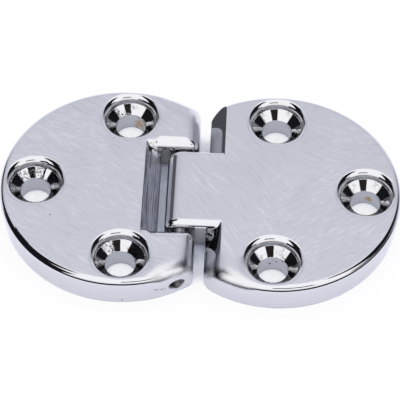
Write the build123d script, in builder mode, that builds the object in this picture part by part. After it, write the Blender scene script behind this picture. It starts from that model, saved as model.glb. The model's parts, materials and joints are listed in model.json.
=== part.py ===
from build123d import *
from math import acos, atan2, cos, degrees, hypot, radians, sin
import os

# Round flap hinge, open and lying flat on its underside.
# X runs across the hinge line from the eared leaf to the tongue leaf, Y along the pin, Z up.
# The origin is the middle of the oval outline, on the underside. All sizes are in millimetres.

# Leaf plates: discs cut straight at the hinge line, their walls drawn in towards the underside
overall_length = 65.0
leaf_diameter = 40.0
plate_thickness = 5.7
foot_inset = 0.55
foot_break = 0.3
rim_round = 1.0
corner_round = 3.0
trim_spare = 0.002

# Knuckles, and the relief beside them that lets the leaves fold
pin_axis_x = -3.0
pin_axis_height = 2.4
knuckle_reach = 2.5
knuckle_top_round = 2.4
knuckle_foot_round = 1.3
knuckle_edge_round = 1.1
ear_edge_round = 1.9
notch_width = 17.0
tongue_side_gap = 0.8
nose_gap = 1.2
shoulder_gap = 1.7
relief_run = 2.5
relief_drop = 2.3

# Hinge pin
pin_diameter = 2.5
pin_running_clearance = 0.05
pin_recess = 0.6
pin_end_chamfer = 0.2

# Screw holes: a rounded mouth, a short collar, a countersink cone and a plain bore
bore_radius = 2.45
collar_radius = 4.0
collar_depth = 1.35
cone_depth = 1.25
mouth_round = 1.15
rim_land = 1.8
notch_land = 2.38

# Places worked out from the sizes above
leaf_radius = leaf_diameter / 2
disc_centre = overall_length / 2 - leaf_radius
ear_tip_x = pin_axis_x + knuckle_reach
nose_x = pin_axis_x - knuckle_reach
notch_wall_x = nose_x - nose_gap
shoulder_x = ear_tip_x + shoulder_gap
relief_foot = plate_thickness - relief_drop
notch_top_x = notch_wall_x - relief_run
tongue_width = notch_width - 2 * tongue_side_gap
pin_radius = pin_diameter / 2
pin_side_x = pin_axis_x + pin_radius + disc_centre
pin_half_length = (leaf_radius**2 - pin_side_x**2) ** 0.5 - foot_inset - pin_recess
clear = plate_thickness
wall_draft = degrees(atan2(foot_inset, plate_thickness))

# The holes lie on a circle inside the rim, the corner ones as near the notch's corner as its land allows
hole_circle = leaf_radius - rim_land - collar_radius
notch_corner = hypot(disc_centre + notch_top_x, notch_width / 2)
corner_reach = collar_radius + notch_land
corner_cosine = (hole_circle**2 + notch_corner**2 - corner_reach**2) / (2 * hole_circle * notch_corner)
corner_turn = acos(min(1, corner_cosine))
corner_hole_angle = 180 - degrees(atan2(notch_width / 2, disc_centre + notch_top_x) + corner_turn)


def leaf_plate(side, straight_x, spare):
    """Disc of one leaf (side -1 left, 1 right), cut straight with its foot at straight_x, rounded at the rim.

    Its two faces stand spare outside the finished ones.
    """
    with BuildPart() as plate:
        with BuildSketch(Plane.XY.offset(-spare)):
            with Locations((side * disc_centre, 0)):
                Circle(leaf_radius - foot_inset)
            with Locations((straight_x - side * leaf_diameter, 0)):
                Rectangle(2 * leaf_diameter, 2 * leaf_diameter, mode=Mode.SUBTRACT)
            fillet(vertices(), corner_round)
        extrude(amount=plate_thickness + 2 * spare, taper=-wall_draft)
        fillet(edges().group_by(Axis.Z)[-1], rim_round)
        chamfer(edges().group_by(Axis.Z)[0], foot_break)
    return plate.part


def knuckle_profile(tip_x, root_x):
    """Side view of a knuckle from its root to its tip, which is rounded above and below."""
    with BuildSketch(Plane.XZ) as profile:
        with Locations(((tip_x + root_x) / 2, 0)):
            Rectangle(abs(tip_x - root_x), plate_thickness, align=(Align.CENTER, Align.MIN))
        fillet(vertices().sort_by_distance((tip_x, 0))[0], knuckle_foot_round)
        fillet(vertices().sort_by_distance((tip_x, plate_thickness))[0], knuckle_top_round)
    return profile.sketch


def cut_relief(wall_x, side, width):
    """Cuts the room beside a knuckle: its wall is upright at the foot, then slopes open to the top."""
    with BuildSketch(Plane.XZ) as room:
        with BuildLine():
            Polyline(
                (wall_x - side * leaf_radius, -clear),
                (wall_x, -clear),
                (wall_x, relief_foot),
                (wall_x + side * relief_run, plate_thickness),
                (wall_x + side * relief_run, plate_thickness + clear),
                (wall_x - side * leaf_radius, plate_thickness + clear),
                close=True,
            )
        make_face()
    extrude(room.sketch, amount=width / 2, both=True, mode=Mode.SUBTRACT)


def ease_side_walls(half_width):
    """Rounds the edges of the two walls that stand half_width either side of the middle."""
    walls = faces().filter_by(Axis.Y).filter_by(lambda wall: abs(abs(wall.center().Y) - half_width) < 1e-6)
    fillet([wall.edges().sort_by(Axis.Z)[-1] for wall in walls], knuckle_edge_round)


def ear_edge_waste(hand):
    """What comes off the upper inner edge of one ear (hand -1 front, 1 back): a roll-over that runs out at the notch.

    It stays beside the notch and above its slope, by a hair.
    """
    edge_y = hand * notch_width / 2
    middle_y = edge_y + hand * (ear_edge_round - trim_spare)
    middle_z = plate_thickness - ear_edge_round + trim_spare
    width = ear_edge_round - trim_spare / 2
    run_out = Plane(
        (notch_top_x, edge_y, plate_thickness + trim_spare),
        x_dir=(relief_run, hand * ear_edge_round, 0),
        z_dir=(ear_edge_round, -hand * relief_run, relief_run),
    )
    with BuildPart() as waste:
        with BuildSketch(Plane.YZ.offset(notch_top_x)):
            with Locations((middle_y - hand * width / 2, middle_z + clear / 2)):
                Rectangle(width, clear)
            with Locations((middle_y, middle_z)):
                Circle(ear_edge_round, mode=Mode.SUBTRACT)
        extrude(amount=leaf_radius)
        split(bisect_by=run_out, keep=Keep.TOP)
    return waste.part


def screw_hole():
    """What comes out of a leaf for one screw, its mouth at the origin."""
    with BuildPart() as hole:
        with BuildSketch(Plane.XZ):
            with BuildLine():
                mouth = CenterArc((collar_radius + mouth_round, trim_spare - mouth_round), mouth_round, 90, 90)
                Polyline(
                    mouth @ 1,
                    (collar_radius, -collar_depth),
                    (bore_radius, -collar_depth - cone_depth),
                    (bore_radius, -plate_thickness - clear),
                    (0, -plate_thickness - clear),
                    (0, clear),
                    (collar_radius + mouth_round, clear),
                    mouth @ 0,
                )
            make_face()
        revolve(axis=Axis.Z)
    return hole.part


def cut_screw_holes(side):
    """Cuts the three countersunk holes of one leaf, on a circle about the disc's middle."""
    for angle in (-corner_hole_angle, 0, corner_hole_angle):
        x = side * (disc_centre + hole_circle * cos(radians(angle)))
        y = hole_circle * sin(radians(angle))
        add(screw_hole().moved(Location((x, y, plate_thickness))), mode=Mode.SUBTRACT)


def cut_pin_bore(radius):
    """Cuts the bore for the pin right through along Y."""
    with BuildSketch(Plane.XZ) as bore:
        with Locations((pin_axis_x, pin_axis_height)):
            Circle(radius)
    extrude(bore.sketch, amount=leaf_diameter, both=True, mode=Mode.SUBTRACT)


os.makedirs("parts", exist_ok=True)

# Left leaf: a notch in the straight side leaves two ears, which hold the pin.
# Its disc starts a hair too thick and runs past the ears' tips, so that the knuckles' side view trims it cleanly.
with BuildPart() as eared_leaf:
    add(leaf_plate(-1, ear_tip_x + foot_inset, trim_spare))
    extrude(knuckle_profile(ear_tip_x, -overall_length), amount=leaf_diameter, both=True, mode=Mode.INTERSECT)
    cut_relief(notch_wall_x, -1, notch_width)
    ease_side_walls(notch_width / 2)
    for hand in (-1, 1):
        add(ear_edge_waste(hand), mode=Mode.SUBTRACT)
    cut_screw_holes(-1)
    cut_pin_bore(pin_radius)
eared_leaf.part.label = "eared_leaf"
export_step(eared_leaf.part, "parts/eared_leaf.step")

# Tongue of the right leaf, its side edges eased all round; its root runs on inside the plate
with BuildPart() as tongue:
    extrude(knuckle_profile(nose_x, disc_centre), amount=tongue_width / 2, both=True)
    ease_side_walls(tongue_width / 2)

# Right leaf: the tongue enters the notch and turns on the pin
with BuildPart() as tongue_leaf:
    add(leaf_plate(1, shoulder_x, 0))
    cut_relief(shoulder_x, 1, 2 * leaf_diameter)
    add(tongue.part)
    cut_screw_holes(1)
    cut_pin_bore(pin_radius + pin_running_clearance)
tongue_leaf.part.label = "tongue_leaf"
export_step(tongue_leaf.part, "parts/tongue_leaf.step")

# Pin: tight in the ears, its ends a little below the leaf's rim
with BuildPart() as hinge_pin:
    with BuildSketch(Plane.XZ):
        with Locations((pin_axis_x, pin_axis_height)):
            Circle(pin_radius)
    extrude(amount=pin_half_length, both=True)
    chamfer(edges().filter_by(GeomType.CIRCLE), pin_end_chamfer)
hinge_pin.part.label = "hinge_pin"
export_step(hinge_pin.part, "parts/hinge_pin.step")
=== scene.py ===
import json
from math import atan, cos, degrees, radians, sin

import bpy
from mathutils import Matrix, Vector

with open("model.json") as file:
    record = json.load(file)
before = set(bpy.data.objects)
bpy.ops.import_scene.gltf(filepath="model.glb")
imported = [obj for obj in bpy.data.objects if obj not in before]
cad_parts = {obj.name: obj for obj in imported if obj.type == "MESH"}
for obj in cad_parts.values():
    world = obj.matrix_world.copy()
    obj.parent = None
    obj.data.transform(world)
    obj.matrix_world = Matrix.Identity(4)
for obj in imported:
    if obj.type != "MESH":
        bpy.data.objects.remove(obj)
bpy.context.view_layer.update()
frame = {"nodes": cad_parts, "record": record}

# Chromed flap hinge on a white table, in a light tent with black panels at both sides.
# Objects are in metres. Places and reaches that a material of the hinge names are in millimetres.
MILLIMETRES = 1000
DEGREES = degrees(1)

# Camera, as it stands in the photograph: angles in degrees, lengths on the picture in pixels
CAMERA_AZIMUTH = 1.703
CAMERA_ELEVATION = 52.1
CAMERA_ROLL = 0.928
CAMERA_DISTANCE = 0.3887
CAMERA_CLIP = 0.01
FOCAL_PIXELS = 2385.8
PICTURE_PIXELS = 400
AIM_BELOW_MIDDLE = 8.35
SENSOR = 36.0

# Light tent, the lower half like the upper. A panel is given in degrees: the azimuth of its middle from +X
# towards +Y, its half width, its upper and lower edge from straight up, and the softness of its edges.
TENT_RADIUS = 1.2
TENT_SEGMENTS = 64
TENT_RINGS = 32
WHITE = (1.42, 1.42, 1.45, 1)
BLACK = (0.012, 0.012, 0.016, 1)
DARK_GREY = (0.13, 0.13, 0.15, 1)
NEAR_BLACK = (0.03, 0.024, 0.024, 1)
BACK = (0.93, 0.95, 1.06, 1)
BACK_LOW = (0.34, 0.35, 0.41, 1)
BACK_FADE = (30, 84)
BACK_PANEL = (90, 38, 56, 100, 8)
FRONT_LOW = (0.92, 0.92, 0.95, 1)
FRONT_FADE = (60, 76)
FRONT_PANEL = (275, 79, -10, 79, 2)
OVERHEAD_EDGE = (33, 27)

# Dark panels, each laid over the ones before it: four at the left, three at the right and two in front
DARK_PANELS = [
    (DARK_GREY, (168, 36, 61, 95, 1.5)),
    (BLACK, (174, 23, 24, 80, 2)),
    (BLACK, (188, 38, 58, 82, 2)),
    (BLACK, (160, 28, 16, 34, 2)),
    (BLACK, (17, 23, 30, 72, 4)),
    (BLACK, (7, 33, 58, 72, 4)),
    (BLACK, (22, 24, 18, 34, 2)),
    (NEAR_BLACK, (289, 19, 34.5, 47, 1)),
    (BLACK, (270, 80, 81, 95, 1.5)),
]

# Low dark card round the front of the hinge, which draws the dark line under its rims. It follows both
# discs, from CARD_FROM at the front to CARD_TO degrees, and runs out at both ends.
CARD_RADIUS = 0.037
CARD_CENTRE = 0.0125
CARD_HEIGHT = 0.009
CARD_STEPS = 48
CARD_FROM = -90
CARD_TO = 18
CARD_END_Y = 0.004
CARD_RUN_OUT = 0.010
CARD_LEAST = 0.01

# Small dark flag at the left front, which broadens that line there
FLAG_MIDDLE = Vector((-0.048, -0.032, 0.032))
FLAG_HALF_WIDTH = 0.013
FLAG_HALF_HEIGHT = 0.0095

# Table: to the camera it is clear, over white, so that a leaf folded down below it still shows, with a
# thin paint that takes the hinge's shadow. In the metal it is lilac. It is dark where the hinge shades it
# closely.
TABLE_SIZE = 2.0
TABLE_DROP = 0.00002
TABLE_PAINT = (0.16, 0.16, 0.17, 1)
TABLE_CLEAR = (0.86, 0.86, 0.86, 1)
TABLE_PAINT_IN_METAL = (0.86, 0.88, 0.97, 1)
TABLE_GLOW_IN_METAL = (0.34, 0.34, 0.375, 1)
SHADE_REACH = 0.004
SHADE_SAMPLES = 16
SHADE_EDGE = (0.12, 0.42)
SHADE_DEEPEST = 0.14
SHADE_TINT = (0.64, 0.76, 1.10, 1)
SHADED_PAINT = (0.06, 0.063, 0.075, 1)
NO_LIGHT = (0, 0, 0, 1)
PLAIN_WHITE = (1, 1, 1, 1)

# Chrome, polished all over. Edges look eased: a little all round, more where they are rubbed or buffed.
CHROME = (0.62, 0.62, 0.635, 1)
POLISHED_ROUGH = 0.04
EDGE_ROUND = 0.00015
RUBBED_ROUND = 0.0006
BUFFED_ROUND = 0.0038
BEVEL_SAMPLES = 16
BUMP_STRENGTH = 0.35
BUMP_DEPTH = 0.0001
STROKE_RAGGED = 0.55
STROKE_BENT = 0.3

# Scuffs on the flat upper faces: wavy hairlines, light in some patches and dark in others
TOP_Z = 5.7
UPPER_NORMAL = (0.97, 0.999)
UPPER_ROUGH = 0.12
SCUFF_LIGHT = (0.685, 0.685, 0.70, 1)
SCUFF_DARK = (0.555, 0.555, 0.575, 1)
SCUFF_WIDTH = 0.34
SCUFF_CORE = 0.6
SCUFF_LIGHT_GRAIN = (0.52, 0.66)
SCUFF_DARK_GRAIN = (0.46, 0.30)
SCUFF_ROUGH = 0.10
SCUFF_RELIEF = 0.03
PATCH_SCALE = 0.16
LIGHT_PATCH = (0.38, 0.58)
DARK_PATCH = (0.60, 0.40)
WAVE_SCALE = 0.12
WAVE_DEPTH = (3, 3, 0)

# Linished undersides
UNDER_NORMAL = (-0.97, -0.999)
UNDER_ROUGH = 0.24
LINISH_DARK = (0.40, 0.405, 0.42, 1)
LINISH_ANGLE = 82
LINISH_STROKE = (11.0, 0.14)
LINISH_GRAIN = (0.58, 0.40)
LINISH_RELIEF = 0.3

# Slope of the notch, tinted darker all over as painted shade, streaked coarsely along its length, and
# darker still as painted shade at its upper edge and on the front ear's rolled edge, which faces the tongue
SLOPE_X = (-9.5, -6.6, 0.05)
SLOPE_Y = (-10.3, 7.4, 0.8)
SLOPE_NORMAL = (0.96, 0.90)
SLOPE_SHADE_LIGHT = (0.52, 0.54, 0.60, 1)
SLOPE_STREAK_AND_SHADE_DARK = (0.10, 0.105, 0.12, 1)
SLOPE_ROUGH = 0.22
STREAK_ANGLE = 90
STREAK_STROKE = (7.0, 0.16)
STREAK_GRAIN = (0.50, 0.36)
SLOPE_UPPER_EDGE_SHADE = (-8.9, -8.1, -0.07, 0.03)
EAR_EDGE_SHADE_NORMAL = (0.2, 0.5)

# Shoulders beside the tongue, where they face the ears across the gap: painted shade, less bright than the
# polished faces
SHOULDER_SHADE = (0.46, 0.465, 0.49, 1)
SHOULDER_X = (1.05, 3.95, 0.05)
SHOULDER_NORMAL_X = (-0.35, -0.55)
SHOULDER_NORMAL_Z = (0.4, 0.6)

# Screw holes: dull bores, tinted a little darker as painted shade, and countersinks with fine pits in
# patches and, as a painted reflection, all over their front half
BORE_DULL_AND_SHADE = (0.56, 0.57, 0.59, 1)
BORE_ROUGH = 0.16
BORE_EDGE = (2.51, 2.47)
SUNK_INNER = (2.45, 2.55)
SUNK_OUTER = (4.1, 3.98)
SUNK_NORMAL = (-0.3, 0.0)
FRONT_REFLECTION_REACH = (5.0, 4.5)
FRONT_REFLECTION_SOFT = 0.9
FAR_AWAY = 99.0
PIT_MARK_AND_REFLECTION_DARK = (0.06, 0.06, 0.065, 1)
PIT_STRENGTH = 0.9
PIT_SCALE = 2.6
PIT_GRAIN = (0.45, 0.58)
PIT_RAGGED = 0.65
PIT_RELIEF = 0.4
WORN_SCALE = 0.35
WORN_PATCH = (0.48, 0.60)

# Dark marks and brass-coloured stains
BRASS = (0.42, 0.31, 0.16, 1)
STAIN_SCALE = 1.4
STAIN_GRAIN = (0.35, 0.6)
SPOT_CORE = 0.4

# What is on each leaf. Strokes are an angle in degrees, the x, y and reach of their patch, and a length.
# Pits are a share of the full strength, for the pits and the painted reflection. The rest are spots: x, y,
# z and reach.
EARED_LEAF = {
    "strokes": [(-34, -20, 0, 30, 2.4), (-14, -24, 10, 14, 2.0)],
    "pits": 1.0,
    "buffed": [(-2.5, -16.5, 5.0, 7.0), (-2.5, 16.5, 5.0, 7.0)],
    "rubbed": [(x, y, 5.0, 2.6) for x in (-8.8, -1.0) for y in (-9.3, 9.3)],
    "marks": [
        (-6.3, -18.7, 2.7, 0.22),
        (-5.9, -18.55, 2.6, 0.2),
        (-5.3, -18.3, 2.4, 0.24),
        (-4.8, -18.1, 2.25, 0.18),
        (-11.5, -19.5, 0.8, 0.2),
        (-23.7, -6.9, 5.7, 0.14),
    ],
    "stains": [(-10.7, 16.3, 1.0, 1.5), (-10.3, 15.9, 2.2, 1.3), (-10.8, -11.6, 3.4, 0.7)],
}
TONGUE_LEAF = {
    "strokes": [(-52, 2, 0, 18, 4.0), (-14, 26, 12, 16, 2.0), (36, 22, -8, 18, 2.4)],
    "pits": 0.6,
    "buffed": [(5.0, -17.5, 5.0, 6.5)],
    "rubbed": [(-5.0, -7.7, 5.0, 2.6), (3.7, -7.7, 5.0, 2.6), (-5.0, 7.7, 5.0, 2.6)],
    "marks": [
        (11.6, -11.8, 1.6, 0.25),
        (12.6, -11.8, 2.15, 0.2),
        (13.6, -12.3, 2.9, 0.22),
        (12.0, -11.75, 2.5, 0.12),
    ],
    "stains": [(27.3, 2.2, 1.2, 0.9)],
}

# Pin: bright steel drawn along its length, its ends darkened with a mottled stain and painted shade,
# except for one spot each left bright
PIN_LIGHT = (0.62, 0.62, 0.63, 1)
PIN_DARK = (0.46, 0.46, 0.47, 1)
PIN_END_STAIN_AND_SHADE = (0.02, 0.02, 0.022, 1)
PIN_UNSHADED_SPOTS = [(-3.35, -15.7, 1.95, 0.75), (-2.7, 15.7, 1.9, 0.75)]
PIN_GRAIN_ANGLE = 90
PIN_GRAIN_STROKE = (4.0, 0.4)
PIN_ROUGH = (0.3, 0.7, 0.18, 0.32)
PIN_END_NORMAL = (0.4, 0.8)
PIN_BLOT_SCALE = 0.9
PIN_BLOT = (0.66, 0.56)


class Nodes:
    """Builds one material's node tree from plain calls that return sockets."""

    def __init__(self, name):
        self.material = bpy.data.materials.new(name)
        self.material.use_nodes = True
        self.tree = self.material.node_tree
        self.tree.nodes.clear()

    def add(self, kind, **settings):
        node = self.tree.nodes.new(kind)
        for key, value in settings.items():
            setattr(node, key, value)
        return node

    def put(self, socket, value):
        """Links a socket to the given one, or sets it to a number or colour."""
        if isinstance(value, bpy.types.NodeSocket):
            self.tree.links.new(value, socket)
        else:
            socket.default_value = value

    def math(self, operation, a, b=0.0, clamp=False):
        node = self.add("ShaderNodeMath", operation=operation, use_clamp=clamp)
        self.put(node.inputs[0], a)
        self.put(node.inputs[1], b)
        return node.outputs[0]

    def product(self, first, *others):
        for other in others:
            first = self.math("MULTIPLY", first, other)
        return first

    def vector(self, operation, a, b=(0, 0, 0)):
        node = self.add("ShaderNodeVectorMath", operation=operation)
        self.put(node.inputs[0], a)
        self.put(node.inputs[1], b)
        return node.outputs["Value" if operation in ("DOT_PRODUCT", "DISTANCE") else "Vector"]

    def split(self, vector):
        """The X, Y and Z of a vector, by name."""
        node = self.add("ShaderNodeSeparateXYZ")
        self.put(node.inputs[0], vector)
        return node.outputs

    def ramp(self, value, start, end, to_start=0.0, to_end=1.0):
        """Smooth step of a value from start to end, which may be the lower of the two."""
        node = self.add("ShaderNodeMapRange", interpolation_type="SMOOTHSTEP")
        self.put(node.inputs["Value"], value)
        node.inputs["From Min"].default_value = start
        node.inputs["From Max"].default_value = end
        node.inputs["To Min"].default_value = to_start
        node.inputs["To Max"].default_value = to_end
        return node.outputs["Result"]

    def window(self, value, low, high, soft):
        """1 where a value lies between low and high, with soft edges."""
        return self.product(
            self.ramp(value, low - soft, low + soft),
            self.ramp(value, high + soft, high - soft),
        )

    def mix(self, factor, a, b):
        """Colour a where factor is 0, b where it is 1."""
        node = self.add("ShaderNodeMix", data_type="RGBA")
        self.put(node.inputs[0], factor)
        self.put(node.inputs[6], a)
        self.put(node.inputs[7], b)
        return node.outputs[2]

    def noise(self, where, scale, detail=2.0, roughness=0.5, distortion=0.0, output="Fac"):
        node = self.add("ShaderNodeTexNoise")
        self.put(node.inputs["Vector"], where)
        node.inputs["Scale"].default_value = scale
        node.inputs["Detail"].default_value = detail
        node.inputs["Roughness"].default_value = roughness
        node.inputs["Distortion"].default_value = distortion
        return node.outputs[output]

    def glow(self, colour, strength=1.0):
        node = self.add("ShaderNodeEmission")
        self.put(node.inputs["Color"], colour)
        self.put(node.inputs["Strength"], strength)
        return node.outputs[0]

    def finish(self, shader):
        output = self.add("ShaderNodeOutputMaterial")
        self.tree.links.new(shader, output.inputs["Surface"])
        return self.material


class Metal(Nodes):
    """Node tree of a metal piece, with the shaded point's place in millimetres and its normal."""

    def __init__(self, name):
        super().__init__(name)
        coordinates = self.add("ShaderNodeTexCoord")
        self.place = self.vector("MULTIPLY", coordinates.outputs["Object"], (MILLIMETRES,) * 3)
        self.at = self.split(self.place)
        self.normal = self.split(coordinates.outputs["Normal"])

    def strokes(self, where, angle, length, width, detail):
        """Noise drawn out into strokes at an angle in degrees."""
        mapped = self.add("ShaderNodeMapping", vector_type="TEXTURE")
        mapped.inputs["Rotation"].default_value = (0, 0, radians(angle))
        mapped.inputs["Scale"].default_value = (length, width, width)
        self.put(mapped.inputs["Vector"], where)
        return self.noise(mapped.outputs[0], 1.0, detail, STROKE_RAGGED, STROKE_BENT)

    def near(self, spot, reach, core):
        """1 about a spot, out to core times its reach, falling to 0 at its reach."""
        return self.ramp(self.vector("DISTANCE", self.place, spot), reach, reach * core)

    def near_any(self, spots):
        near = 0.0
        for x, y, z, reach in spots:
            near = self.math("MAXIMUM", near, self.near((x, y, z), reach, SPOT_CORE))
        return near

    def finish_metal(self, colour, rough, normal=None):
        shader = self.add("ShaderNodeBsdfPrincipled")
        shader.inputs["Metallic"].default_value = 1.0
        self.put(shader.inputs["Base Color"], colour)
        self.put(shader.inputs["Roughness"], rough)
        if normal is not None:
            self.put(shader.inputs["Normal"], normal)
        return self.finish(shader.outputs[0])


class Chrome(Metal):
    """Chrome plate of one leaf: polished, then each method lays a finish or painted shade over what is
    there.
    """

    def __init__(self, leaf, look):
        super().__init__(leaf + "_chrome")
        self.leaf = leaf
        self.look = look
        self.colour = CHROME
        self.rough = POLISHED_ROUGH
        self.relief = 0.0

    def tint(self, mask, colour):
        self.colour = self.mix(mask, self.colour, colour)

    def roughen(self, mask, amount):
        self.rough = self.math("ADD", self.rough, self.product(mask, amount))

    def emboss(self, mask, height):
        self.relief = self.math("ADD", self.relief, self.product(mask, height))

    def scuff_upper_face(self):
        upper = self.ramp(self.normal["Z"], *UPPER_NORMAL)
        waves = self.noise(self.place, WAVE_SCALE, output="Color")
        wavy = self.vector("ADD", self.place, self.vector("MULTIPLY", waves, WAVE_DEPTH))
        light = 0.0
        dark = 0.0
        for angle, x, y, reach, length in self.look["strokes"]:
            grain = self.strokes(wavy, angle, length, SCUFF_WIDTH, detail=2)
            near = self.near((x, y, TOP_Z), reach, SCUFF_CORE)
            light = self.math("MAXIMUM", light, self.product(near, self.ramp(grain, *SCUFF_LIGHT_GRAIN)))
            dark = self.math("MAXIMUM", dark, self.product(near, self.ramp(grain, *SCUFF_DARK_GRAIN)))
        patch = self.noise(self.place, PATCH_SCALE)
        light = self.product(light, upper, self.ramp(patch, *LIGHT_PATCH))
        dark = self.product(dark, upper, self.ramp(patch, *DARK_PATCH))
        self.tint(light, SCUFF_LIGHT)
        self.tint(dark, SCUFF_DARK)
        self.roughen(upper, UPPER_ROUGH)
        self.roughen(light, SCUFF_ROUGH)
        self.emboss(self.math("SUBTRACT", light, dark), SCUFF_RELIEF)

    def linish_underside(self):
        under = self.ramp(self.normal["Z"], *UNDER_NORMAL)
        grain = self.strokes(self.place, LINISH_ANGLE, *LINISH_STROKE, detail=4)
        self.tint(self.product(under, self.ramp(grain, *LINISH_GRAIN)), LINISH_DARK)
        self.roughen(under, UNDER_ROUGH)
        self.emboss(self.product(under, grain), LINISH_RELIEF)

    def streak_and_shade_notch_slope(self):
        slope = self.product(
            self.ramp(self.normal["Z"], *SLOPE_NORMAL),
            self.window(self.at["X"], *SLOPE_X),
            self.window(self.at["Y"], *SLOPE_Y),
        )
        grain = self.strokes(self.place, STREAK_ANGLE, *STREAK_STROKE, detail=4)
        # Painted shade: the slope is tinted darker, most at its upper edge and on the front ear's edge that
        # faces the tongue, with grain running through it
        grain_and_edge_shade = self.math("ADD", grain, self.ramp(self.at["X"], *SLOPE_UPPER_EDGE_SHADE))
        ear_edge_shade = self.ramp(self.normal["Y"], *EAR_EDGE_SHADE_NORMAL)
        streaks_and_shade = self.math("MAXIMUM", self.ramp(grain_and_edge_shade, *STREAK_GRAIN), ear_edge_shade)
        self.tint(slope, self.mix(streaks_and_shade, SLOPE_SHADE_LIGHT, SLOPE_STREAK_AND_SHADE_DARK))
        self.roughen(slope, SLOPE_ROUGH)
        self.emboss(slope, grain)

    def paint_shade_on_shoulders(self):
        shoulder_shade = self.product(
            self.ramp(self.normal["X"], *SHOULDER_NORMAL_X),
            self.ramp(self.normal["Z"], *SHOULDER_NORMAL_Z),
            self.window(self.at["X"], *SHOULDER_X),
        )
        # Painted shade where the shoulders face the ears
        self.tint(shoulder_shade, SHOULDER_SHADE)

    def find_holes(self):
        """Distance from the nearest screw hole's axis, and 1 on each countersink's front half (painted
        reflection).
        """
        level = self.vector("MULTIPLY", self.place, (1, 1, 0))
        from_hole = FAR_AWAY
        front_half_reflection = 0.0
        for mount in frame["record"]["mounts"]:
            if mount["kind"] == "bore" and mount["name"].startswith(self.leaf):
                x, y, z = Vector(mount["pos_m"]) * MILLIMETRES
                distance = self.vector("DISTANCE", level, (x, y, 0))
                in_front = self.ramp(self.at["Y"], y + FRONT_REFLECTION_SOFT, y - FRONT_REFLECTION_SOFT)
                half = self.product(self.ramp(distance, *FRONT_REFLECTION_REACH), in_front)
                front_half_reflection = self.math("MAXIMUM", front_half_reflection, half)
                from_hole = self.math("MINIMUM", from_hole, distance)
        return from_hole, front_half_reflection

    def wear_and_shade_screw_holes(self):
        from_hole, front_half_reflection = self.find_holes()
        bore = self.ramp(from_hole, *BORE_EDGE)
        # Painted shade: the bores are tinted darker as well as dull
        self.tint(bore, BORE_DULL_AND_SHADE)
        self.roughen(bore, BORE_ROUGH)
        sunk = self.product(
            self.ramp(from_hole, *SUNK_OUTER),
            self.ramp(from_hole, *SUNK_INNER),
            self.ramp(self.normal["Z"], *SUNK_NORMAL),
        )
        patches = self.ramp(self.noise(self.place, WORN_SCALE), *WORN_PATCH)
        # Painted reflection: pits cover each countersink's front half, as well as worn patches
        pits_and_reflection = self.product(sunk, self.look["pits"], self.math("MAXIMUM", patches, front_half_reflection))
        grain = self.noise(self.place, PIT_SCALE, detail=4, roughness=PIT_RAGGED)
        self.tint(self.product(pits_and_reflection, self.ramp(grain, *PIT_GRAIN), PIT_STRENGTH), PIT_MARK_AND_REFLECTION_DARK)
        self.emboss(self.product(pits_and_reflection, grain), PIT_RELIEF)

    def stain_and_mark(self):
        mottle = self.ramp(self.noise(self.place, STAIN_SCALE, detail=3), *STAIN_GRAIN)
        self.tint(self.product(self.near_any(self.look["stains"]), mottle), BRASS)
        self.tint(self.near_any(self.look["marks"]), PIT_MARK_AND_REFLECTION_DARK)

    def eased_edges(self):
        """Normal of the surface with its edges eased and its relief on it."""
        rubbed = self.ramp(self.near_any(self.look["rubbed"]), 0, 1, EDGE_ROUND, RUBBED_ROUND)
        buffed = self.ramp(self.near_any(self.look["buffed"]), 0, 1, EDGE_ROUND, BUFFED_ROUND)
        eased = self.add("ShaderNodeBevel", samples=BEVEL_SAMPLES)
        self.put(eased.inputs["Radius"], self.math("MAXIMUM", buffed, rubbed))
        bump = self.add("ShaderNodeBump")
        bump.inputs["Strength"].default_value = BUMP_STRENGTH
        bump.inputs["Distance"].default_value = BUMP_DEPTH
        self.put(bump.inputs["Height"], self.relief)
        self.put(bump.inputs["Normal"], eased.outputs[0])
        return bump.outputs[0]


def chrome_material(leaf, look):
    chrome = Chrome(leaf, look)
    chrome.scuff_upper_face()
    chrome.linish_underside()
    chrome.streak_and_shade_notch_slope()
    chrome.paint_shade_on_shoulders()
    chrome.wear_and_shade_screw_holes()
    chrome.stain_and_mark()
    return chrome.finish_metal(chrome.colour, chrome.rough, chrome.eased_edges())


def steel_material():
    n = Metal("pin_steel")
    grain = n.strokes(n.place, PIN_GRAIN_ANGLE, *PIN_GRAIN_STROKE, detail=3)
    end = n.ramp(n.math("ABSOLUTE", n.normal["Y"]), *PIN_END_NORMAL)
    blot = n.ramp(n.noise(n.place, PIN_BLOT_SCALE), *PIN_BLOT)
    off_spots = n.math("SUBTRACT", 1.0, n.near_any(PIN_UNSHADED_SPOTS))
    # Painted shade: each end is darkened, mottled like a stain, save one spot
    stain_and_shade = n.product(end, blot, off_spots)
    colour = n.mix(stain_and_shade, n.mix(grain, PIN_DARK, PIN_LIGHT), PIN_END_STAIN_AND_SHADE)
    return n.finish_metal(colour, n.ramp(grain, *PIN_ROUGH))


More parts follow.
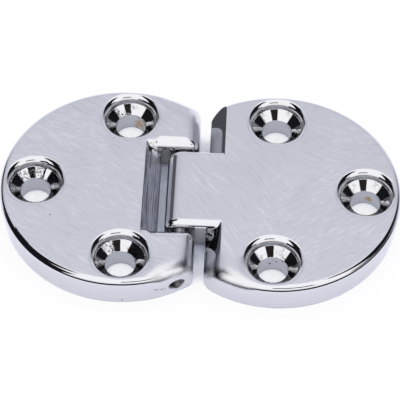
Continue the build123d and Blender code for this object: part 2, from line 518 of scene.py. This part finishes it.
def tent_material():
    n = Nodes("tent")
    direction = n.vector("NORMALIZE", n.add("ShaderNodeTexCoord").outputs["Object"])
    height = n.math("ABSOLUTE", n.split(direction)["Z"])
    from_top = n.math("MULTIPLY", n.math("ARCCOSINE", height), DEGREES)

    def turn_from(azimuth):
        """Degrees round the tent between the shaded point and this azimuth."""
        turn = radians(azimuth)
        across = n.vector("DOT_PRODUCT", direction, (-sin(turn), cos(turn), 0))
        along = n.vector("DOT_PRODUCT", direction, (cos(turn), sin(turn), 0))
        return n.math("MULTIPLY", n.math("ABSOLUTE", n.math("ARCTAN2", across, along)), DEGREES)

    def panel(azimuth, half_width, top, bottom, soft):
        """1 on a panel of the tent."""
        wide = n.ramp(turn_from(azimuth), half_width + soft, half_width - soft)
        return n.product(wide, n.window(from_top, top, bottom, soft))

    colour = n.mix(n.ramp(from_top, *BACK_FADE), BACK, BACK_LOW)
    colour = n.mix(panel(*BACK_PANEL), colour, BACK)
    front = n.mix(n.ramp(from_top, *FRONT_FADE), WHITE, FRONT_LOW)
    colour = n.mix(panel(*FRONT_PANEL), colour, front)
    colour = n.mix(n.ramp(from_top, *OVERHEAD_EDGE), colour, WHITE)
    for shade, place in DARK_PANELS:
        colour = n.mix(panel(*place), colour, shade)
    return n.finish(n.glow(colour))


def only_in_metal(thing):
    """Sets a stage object so that the metal mirrors it and nothing else sees it."""
    thing.visible_camera = False
    thing.visible_diffuse = False
    thing.visible_transmission = False
    thing.visible_volume_scatter = False
    thing.visible_shadow = False


def make_tent():
    bpy.ops.mesh.primitive_uv_sphere_add(segments=TENT_SEGMENTS, ring_count=TENT_RINGS, radius=TENT_RADIUS)
    tent = bpy.context.object
    tent.name = "light_tent"
    tent.data.materials.append(tent_material())
    only_in_metal(tent)


def rim_card():
    """Points of the low card, foot and top by turns, from its left end round the front to its right end."""
    shares = [step / CARD_STEPS for step in range(CARD_STEPS + 1)]
    points = []
    for side, way in ((-1, reversed(shares)), (1, shares)):
        for share in way:
            angle = radians(CARD_FROM + share * (CARD_TO - CARD_FROM))
            x = side * (CARD_CENTRE + CARD_RADIUS * cos(angle))
            y = CARD_RADIUS * sin(angle)
            height = CARD_HEIGHT * min(1, max(CARD_LEAST, (CARD_END_Y - y) / CARD_RUN_OUT))
            points += [(x, y, 0), (x, y, height)]
    return points


def flag():
    """Corners of the flag, which faces the middle of the hinge."""
    towards = FLAG_MIDDLE.normalized()
    across = Vector((0, 0, 1)).cross(towards).normalized() * FLAG_HALF_WIDTH
    upwards = towards.cross(across).normalized() * FLAG_HALF_HEIGHT
    corners = ((-1, -1), (1, -1), (1, 1), (-1, 1))
    return [FLAG_MIDDLE + right * across + up * upwards for right, up in corners]


def make_cards():
    points = rim_card()
    faces = [(i, i + 2, i + 3, i + 1) for i in range(0, len(points) - 2, 2)]
    faces.append(tuple(range(len(points), len(points) + 4)))
    points += flag()
    mesh = bpy.data.meshes.new("dark_cards")
    mesh.from_pydata(points, [], faces)
    n = Nodes("dark_cards")
    mesh.materials.append(n.finish(n.glow(BLACK)))
    cards = bpy.data.objects.new("dark_cards", mesh)
    bpy.context.collection.objects.link(cards)
    only_in_metal(cards)


def table_material():
    n = Nodes("white_table")
    seen = n.add("ShaderNodeLightPath").outputs
    straight = n.math("ADD", seen["Is Camera Ray"], seen["Is Transmission Ray"], clamp=True)
    shade = n.add("ShaderNodeAmbientOcclusion", samples=SHADE_SAMPLES)
    shade.inputs["Distance"].default_value = SHADE_REACH
    open_sky = n.ramp(shade.outputs["AO"], *SHADE_EDGE, SHADE_DEEPEST, 1.0)

    paint = n.add("ShaderNodeBsdfDiffuse")
    in_metal = n.mix(open_sky, SHADED_PAINT, TABLE_PAINT_IN_METAL)
    n.put(paint.inputs["Color"], n.mix(straight, in_metal, TABLE_PAINT))
    clear = n.add("ShaderNodeBsdfTransparent")
    tint = n.mix(open_sky, SHADE_TINT, TABLE_CLEAR)
    n.put(clear.inputs["Color"], n.mix(open_sky, NO_LIGHT, tint))

    behind = n.add("ShaderNodeMixShader")
    n.put(behind.inputs[0], straight)
    n.put(behind.inputs[1], n.glow(TABLE_GLOW_IN_METAL, open_sky))
    n.put(behind.inputs[2], clear.outputs[0])
    both = n.add("ShaderNodeAddShader")
    n.put(both.inputs[0], paint.outputs[0])
    n.put(both.inputs[1], behind.outputs[0])
    return n.finish(both.outputs[0])


def make_table():
    bpy.ops.mesh.primitive_plane_add(size=TABLE_SIZE, location=(0, 0, -TABLE_DROP))
    table = bpy.context.object
    table.name = "white_table"
    table.data.materials.append(table_material())


def make_world():
    world = bpy.data.worlds.new("plain_white")
    bpy.context.scene.world = world
    world.use_nodes = True
    background = world.node_tree.nodes["Background"]
    background.inputs["Color"].default_value = PLAIN_WHITE
    background.inputs["Strength"].default_value = 1.0


def make_camera():
    azimuth = radians(CAMERA_AZIMUTH)
    elevation = radians(CAMERA_ELEVATION)
    roll = radians(CAMERA_ROLL)
    back = Vector((sin(azimuth) * cos(elevation), -cos(azimuth) * cos(elevation), sin(elevation)))
    level = Vector((cos(azimuth), sin(azimuth), 0))
    upright = back.cross(level)
    right = cos(roll) * level + sin(roll) * upright
    up = cos(roll) * upright - sin(roll) * level
    turn = Matrix((right, up, back)).transposed().to_4x4()
    tilt = Matrix.Rotation(atan(AIM_BELOW_MIDDLE / FOCAL_PIXELS), 4, "X")
    data = bpy.data.cameras.new("camera")
    data.sensor_width = SENSOR
    data.lens = SENSOR * FOCAL_PIXELS / PICTURE_PIXELS
    data.clip_start = CAMERA_CLIP
    camera = bpy.data.objects.new("camera", data)
    camera.matrix_world = Matrix.Translation(back * CAMERA_DISTANCE) @ turn @ tilt
    bpy.context.collection.objects.link(camera)
    bpy.context.scene.camera = camera


def dress(node, material):
    for slot in frame["nodes"][node].material_slots:
        slot.material = material


make_world()
make_tent()
make_cards()
make_table()
dress("eared_leaf", chrome_material("eared_leaf", EARED_LEAF))
dress("tongue_leaf", chrome_material("tongue_leaf", TONGUE_LEAF))
dress("hinge_pin", steel_material())
make_camera()
bpy.context.scene.view_settings.view_transform = "Standard"
